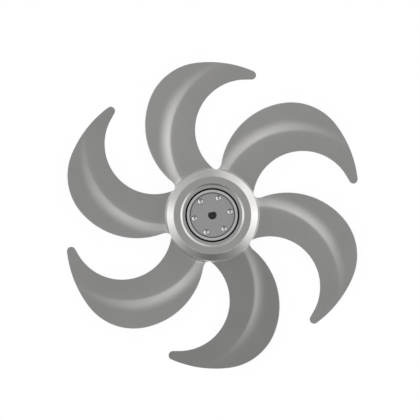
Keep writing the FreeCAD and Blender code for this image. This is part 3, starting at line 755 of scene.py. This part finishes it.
def finish(name, metallic, colour, roughness, height, depth, **constant):
    """A material from functions of its node tree: colour, roughness and the bump's height, and
    plain numbers for the rest of the shader's sockets. The bump is as deep as depth says."""
    material = bpy.data.materials.new(name)
    material.use_nodes = True
    tree = material.node_tree
    tree.nodes.clear()
    bump = add(tree, "Bump", {"Strength": 1, "Distance": depth, "Height": height(tree)})
    shader = add(tree, "BsdfPrincipled", {
        "Base Color": colour(tree), "Roughness": roughness(tree), "Metallic": metallic,
        "Normal": bump.outputs[0], **constant})
    add(tree, "OutputMaterial", {"Surface": shader.outputs[0]})
    return material


def casting_paint(look, hub):
    """Satin silver-grey coat on the casting, with a faint grain and rubbed edges. Painted light
    makes the hub's face, step and bevel lighter copies of the coat, and painted shade darkens the
    edge beside the rubber ring."""
    def colour(tree):
        tone = effect(tree, "grain", Scale=900, Clouds=0.7)["Tone"]
        coat = blend(tree, tone, shade(look.casting, 0.96), shade(look.casting, 1.04))
        radius = effect(tree, "turning")["Radius"]
        seat, face = hub.seat_radius, hub.face_radius - look.painted_light_margin
        margin = 0.1 * MM
        # Painted light: lighter copies of the coat on the hub's face, and on its step and bevel
        lit_face_mask = between(tree, radius, seat, face)
        coat = blend(tree, lit_face_mask, coat, shade(look.casting, look.painted_face_light))
        step = between(tree, radius, hub.step_foot + margin, hub.step_top)
        bevel = between(tree, radius, face, hub.radius - margin)
        lit_slope_mask = maths(tree, "ADD", step, bevel)
        coat = blend(tree, lit_slope_mask, coat, shade(look.casting, look.painted_slope_light))
        # Painted shade: a dark band each side of the seat's edge beside the rubber ring
        gap_shade_mask = between(tree, radius, seat - look.seat_shade_width, seat + look.seat_shade_width)
        coat = blend(tree, gap_shade_mask, coat, shade(look.casting, look.painted_gap_shade))
        worn = effect(tree, "wear", Start=0.53, Full=0.62)["Mask"]
        rubbed = maths(tree, "MULTIPLY", worn, look.wear)
        return blend(tree, rubbed, coat, shade(look.casting, look.rubbed_gain))

    def roughness(tree):
        tone = effect(tree, "grain", Scale=1400, Clouds=0.5)["Tone"]
        return spread(tree, tone, look.casting_roughness - 0.03, look.casting_roughness + 0.03)

    def height(tree):
        return effect(tree, "grain", Scale=1400, Clouds=0.2)["Height"]

    return finish(
        "casting_paint", look.casting_metal, colour, roughness, height, depth=0.02 * MM)


def turned_plate(look):
    """Turned face with fine rings, painted light on the rim, painted shade in the relief groove and
    painted shade at the edge beside the rubber ring.
    """
    def colour(tree):
        turning = effect(tree, "turning", Rings=1800)
        radius = turning["Radius"]
        bare = blend(tree, turning["Tone"], shade(look.plate, 0.93), shade(look.plate, 1.07))
        # Painted light on the rim
        rim = between(tree, radius, look.groove_outer, look.plate_shade_radius)
        bare = blend(tree, rim, bare, shade(look.plate, look.painted_rim_light))
        # Painted shade in the groove
        groove = between(tree, radius, look.groove_inner, look.groove_outer)
        bare = blend(tree, groove, bare, shade(look.plate, look.painted_groove_shade))
        # Painted shade at the plate's edge beside the rubber ring
        edge = maths(tree, "GREATER_THAN", radius, look.plate_shade_radius)
        return blend(tree, edge, bare, shade(look.plate, look.painted_gap_shade))

    def roughness(tree):
        return spread(tree, effect(tree, "turning", Rings=1800)["Tone"], 0.3, 0.42)

    def height(tree):
        return effect(tree, "turning", Rings=1800)["Tone"]

    return finish("turned_plate", 0.85, colour, roughness, height, depth=0.02 * MM)


def black_rubber(look):
    """Matt black rubber, a little dusty."""
    def colour(tree):
        tone = effect(tree, "grain", Scale=600, Clouds=0.5)["Tone"]
        return blend(tree, tone, shade(look.rubber, 0.55), shade(look.rubber, 1.45))

    def roughness(tree):
        return spread(tree, effect(tree, "grain", Scale=1200, Clouds=0.3)["Tone"], 0.6, 0.8)

    def height(tree):
        return effect(tree, "grain", Scale=1500, Clouds=0)["Height"]

    return finish(
        "black_rubber", 0, colour, roughness, height, depth=0.03 * MM,
        **{"Specular IOR Level": 0.1})


def bright_pin(look):
    """Bright turned pins with a fine grain."""
    def colour(tree):
        tone = effect(tree, "grain", Scale=2500, Clouds=0.3)["Tone"]
        return blend(tree, tone, shade(look.pin, 0.95), shade(look.pin, 1.05))

    def roughness(tree):
        return spread(tree, effect(tree, "grain", Scale=2500, Clouds=0.3)["Tone"], 0.26, 0.36)

    def height(tree):
        return effect(tree, "grain", Scale=3000, Clouds=0)["Height"]

    return finish("bright_pin", 0.9, colour, roughness, height, depth=0.01 * MM)


def turned_steel(look):
    """Turned steel of the bush, with rings and worn edges."""
    def colour(tree):
        tone = effect(tree, "turning", Rings=1200)["Tone"]
        bare = blend(tree, tone, shade(look.steel, 0.83), shade(look.steel, 1.17))
        return blend(tree, effect(tree, "wear")["Mask"], bare, shade(look.steel, 1.65))

    def roughness(tree):
        return spread(tree, effect(tree, "turning", Rings=1200)["Tone"], 0.28, 0.42)

    def height(tree):
        return effect(tree, "turning", Rings=1200)["Tone"]

    return finish("turned_steel", 1, colour, roughness, height, depth=0.02 * MM)


def blackened_steel(look):
    """Blackened steel of the set screw, rubbed bare at its edges."""
    def colour(tree):
        tone = effect(tree, "grain", Scale=1800, Clouds=0.5)["Tone"]
        dark = blend(tree, tone, shade(look.black, 0.62), shade(look.black, 1.38))
        return blend(tree, effect(tree, "wear")["Mask"], dark, shade(look.steel, 0.83))

    def roughness(tree):
        return spread(tree, effect(tree, "grain", Scale=1800, Clouds=0.5)["Tone"], 0.4, 0.55)

    def height(tree):
        return effect(tree, "grain", Scale=2200, Clouds=0)["Height"]

    return finish("blackened_steel", 0.6, colour, roughness, height, depth=0.01 * MM)


FINISHES = {
    "hub_plate": turned_plate,
    "shaft_bush": turned_steel,
    "grub_screw": blackened_steel,
}


class IMPELLER_OT_finishes(bpy.types.Operator):
    """Give each carried-over part its finish"""

    bl_idname = "impeller.finishes"
    bl_label = "Finishes"

    def execute(self, context):
        for name, make in FINISHES.items():
            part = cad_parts[name]
            part.data.materials.clear()
            part.data.materials.append(make(context.scene.impeller_finish))
        return {"FINISHED"}


# Soft boxes all round the studio: azimuth, elevation and half-width in degrees, and brightness.
# The low ones light the hub's bevel, the middle ones the folds and the top ones the flat faces
SOFT_BOXES = [
    (0, 21, 15, 1.75), (36, 21, 15, 1.4), (72, 21, 15, 0.77), (108, 21, 15, 0.35),
    (144, 21, 15, 0.6), (180, 21, 15, 1.45), (209, 21, 12, 0.75), (331, 21, 12, 1.2),
    (0, 45, 9, 0.45), (60, 45, 11, 1.2), (120, 45, 11, 1.43), (180, 45, 11, 1.52),
    (240, 45, 11, 1.48), (300, 45, 11, 1.55),
    (90, 90, 30, 0.32), (90, 90, 10, 0.18),
]


def studio_light(name, level):
    """A world of soft boxes, each a glow that falls off at an angle a from its middle as
    b exp(k (cos a - 1)), where k makes it half as bright at its half-width. White to the camera."""
    world = bpy.data.worlds.new(name)
    world.use_nodes = True
    tree = world.node_tree
    tree.nodes.clear()
    way = add(tree, "TexCoord").outputs["Generated"]
    total = 0.0
    for azimuth, elevation, width, brightness in SOFT_BOXES:
        turn, lift = math.radians(azimuth), math.radians(elevation)
        middle = (math.cos(turn) * math.cos(lift), math.sin(turn) * math.cos(lift), math.sin(lift))
        near = add(tree, "VectorMath", (way, middle), operation="DOT_PRODUCT").outputs["Value"]
        tight = math.log(2) / (1 - math.cos(math.radians(width)))
        power = maths(tree, "MULTIPLY_ADD", near, tight, math.log(brightness) - tight)
        total = maths(tree, "ADD", total, maths(tree, "EXPONENT", power))
    seen = add(tree, "LightPath").outputs["Is Camera Ray"]
    light = maths(tree, "MULTIPLY", total, level)
    strength = add(tree, "Mix", {0: seen, 2: light, 3: 1.0}).outputs[0]
    background = add(tree, "Background", {"Color": (1, 1, 1, 1), "Strength": strength})
    add(tree, "OutputWorld", {"Surface": background.outputs[0]})
    return world


def floor_paper(hub, studio):
    """White to the camera and to reflections, but with painted shade, dark inside the hub, where no
    light reaches the floor, and a painted shadow, a little darker close to the blades. Clear when
    seen from below."""
    material = bpy.data.materials.new("floor_white")
    material.use_nodes = True
    tree = material.node_tree
    tree.nodes.clear()
    path = add(tree, "LightPath").outputs
    seen = maths(tree, "MAXIMUM", path["Is Camera Ray"], path["Is Glossy Ray"])
    # Painted shadow near the blades from occlusion, and painted shade inside the hub
    open_sky = add(tree, "AmbientOcclusion", {"Distance": studio.shadow_reach}).outputs["AO"]
    lit = spread(tree, open_sky, 1 - studio.shadow, 1)
    place = add(tree, "TexCoord").outputs["Object"]
    away = add(tree, "VectorMath", (place,), operation="LENGTH").outputs["Value"]
    inside = maths(tree, "LESS_THAN", away, hub.radius - 0.5 * hub.wall)
    level = maths(tree, "MULTIPLY", lit, spread(tree, inside, 1, studio.cup_light))
    glow = add(tree, "Emission", {"Strength": level}).outputs[0]
    matt = add(tree, "BsdfDiffuse", {"Color": (0.8, 0.8, 0.8, 1)}).outputs[0]
    paper = add(tree, "MixShader", (seen, matt, glow)).outputs[0]
    below = add(tree, "NewGeometry").outputs["Backfacing"]
    clear = add(tree, "BsdfTransparent").outputs[0]
    surface = add(tree, "MixShader", (below, paper, clear)).outputs[0]
    add(tree, "OutputMaterial", {"Surface": surface})
    return material


class IMPELLER_OT_studio(bpy.types.Operator):
    """Set up the floor, the soft boxes and the camera"""

    bl_idname = "impeller.studio"
    bl_label = "Studio"

    def execute(self, context):
        scene = context.scene
        studio = scene.impeller_studio
        floor = bpy.data.meshes.new("floor")
        reach = studio.floor_reach
        corners = [(-reach, -reach, 0), (reach, -reach, 0), (reach, reach, 0), (-reach, reach, 0)]
        floor.from_pydata(corners, [], [(0, 1, 2, 3)])
        floor.materials.append(floor_paper(scene.impeller_hub, studio))
        ground = bpy.data.objects.new("floor", floor)
        scene.collection.objects.link(ground)

        scene.world = studio_light("studio", studio.light)

        data = bpy.data.cameras.new("camera")
        data.sensor_width = 36
        data.lens = data.sensor_width * studio.distance / studio.field
        camera = bpy.data.objects.new("camera", data)
        aim = Vector((studio.aim_across, studio.aim_up, scene.impeller_blade.level))
        lean = studio.tilt
        camera.location = aim + Vector((0, -math.sin(lean), math.cos(lean))) * studio.distance
        camera.rotation_euler = (lean, 0, 0)
        scene.collection.objects.link(camera)
        scene.camera = camera
        scene.view_settings.view_transform = "Standard"
        return {"FINISHED"}


class IMPELLER_PT_sidebar(bpy.types.Panel):
    """Sizes, colours and build steps of the impeller"""

    bl_idname = "IMPELLER_PT_sidebar"
    bl_label = "Axial Fan Impeller"
    bl_space_type = "VIEW_3D"
    bl_region_type = "UI"
    bl_category = "Impeller"

    def draw(self, context):
        layout = self.layout
        for name in SETTINGS:
            settings = getattr(context.scene, name)
            for setting in settings.__annotations__:
                layout.prop(settings, setting)
        for operator in OPERATORS:
            layout.operator(operator.bl_idname)


SETTINGS = {
    "impeller_blade": ImpellerBlade,
    "impeller_hub": ImpellerHub,
    "impeller_ring": ImpellerRing,
    "impeller_pins": ImpellerPins,
    "impeller_finish": ImpellerFinish,
    "impeller_studio": ImpellerStudio,
}
OPERATORS = (
    IMPELLER_OT_casting,
    IMPELLER_OT_ring,
    IMPELLER_OT_pins,
    IMPELLER_OT_finishes,
    IMPELLER_OT_studio,
)


def register():
    for name, settings in SETTINGS.items():
        bpy.utils.register_class(settings)
        setattr(bpy.types.Scene, name, PointerProperty(type=settings))
    for item in (*OPERATORS, IMPELLER_PT_sidebar):
        bpy.utils.register_class(item)


def unregister():
    for item in (IMPELLER_PT_sidebar, *OPERATORS):
        bpy.utils.unregister_class(item)
    for name, settings in SETTINGS.items():
        delattr(bpy.types.Scene, name)
        bpy.utils.unregister_class(settings)


def main():
    register()
    bpy.ops.impeller.casting()
    bpy.ops.impeller.ring()
    bpy.ops.impeller.pins()
    bpy.ops.impeller.finishes()
    bpy.ops.impeller.studio()


if __name__ == "__main__":
    main()
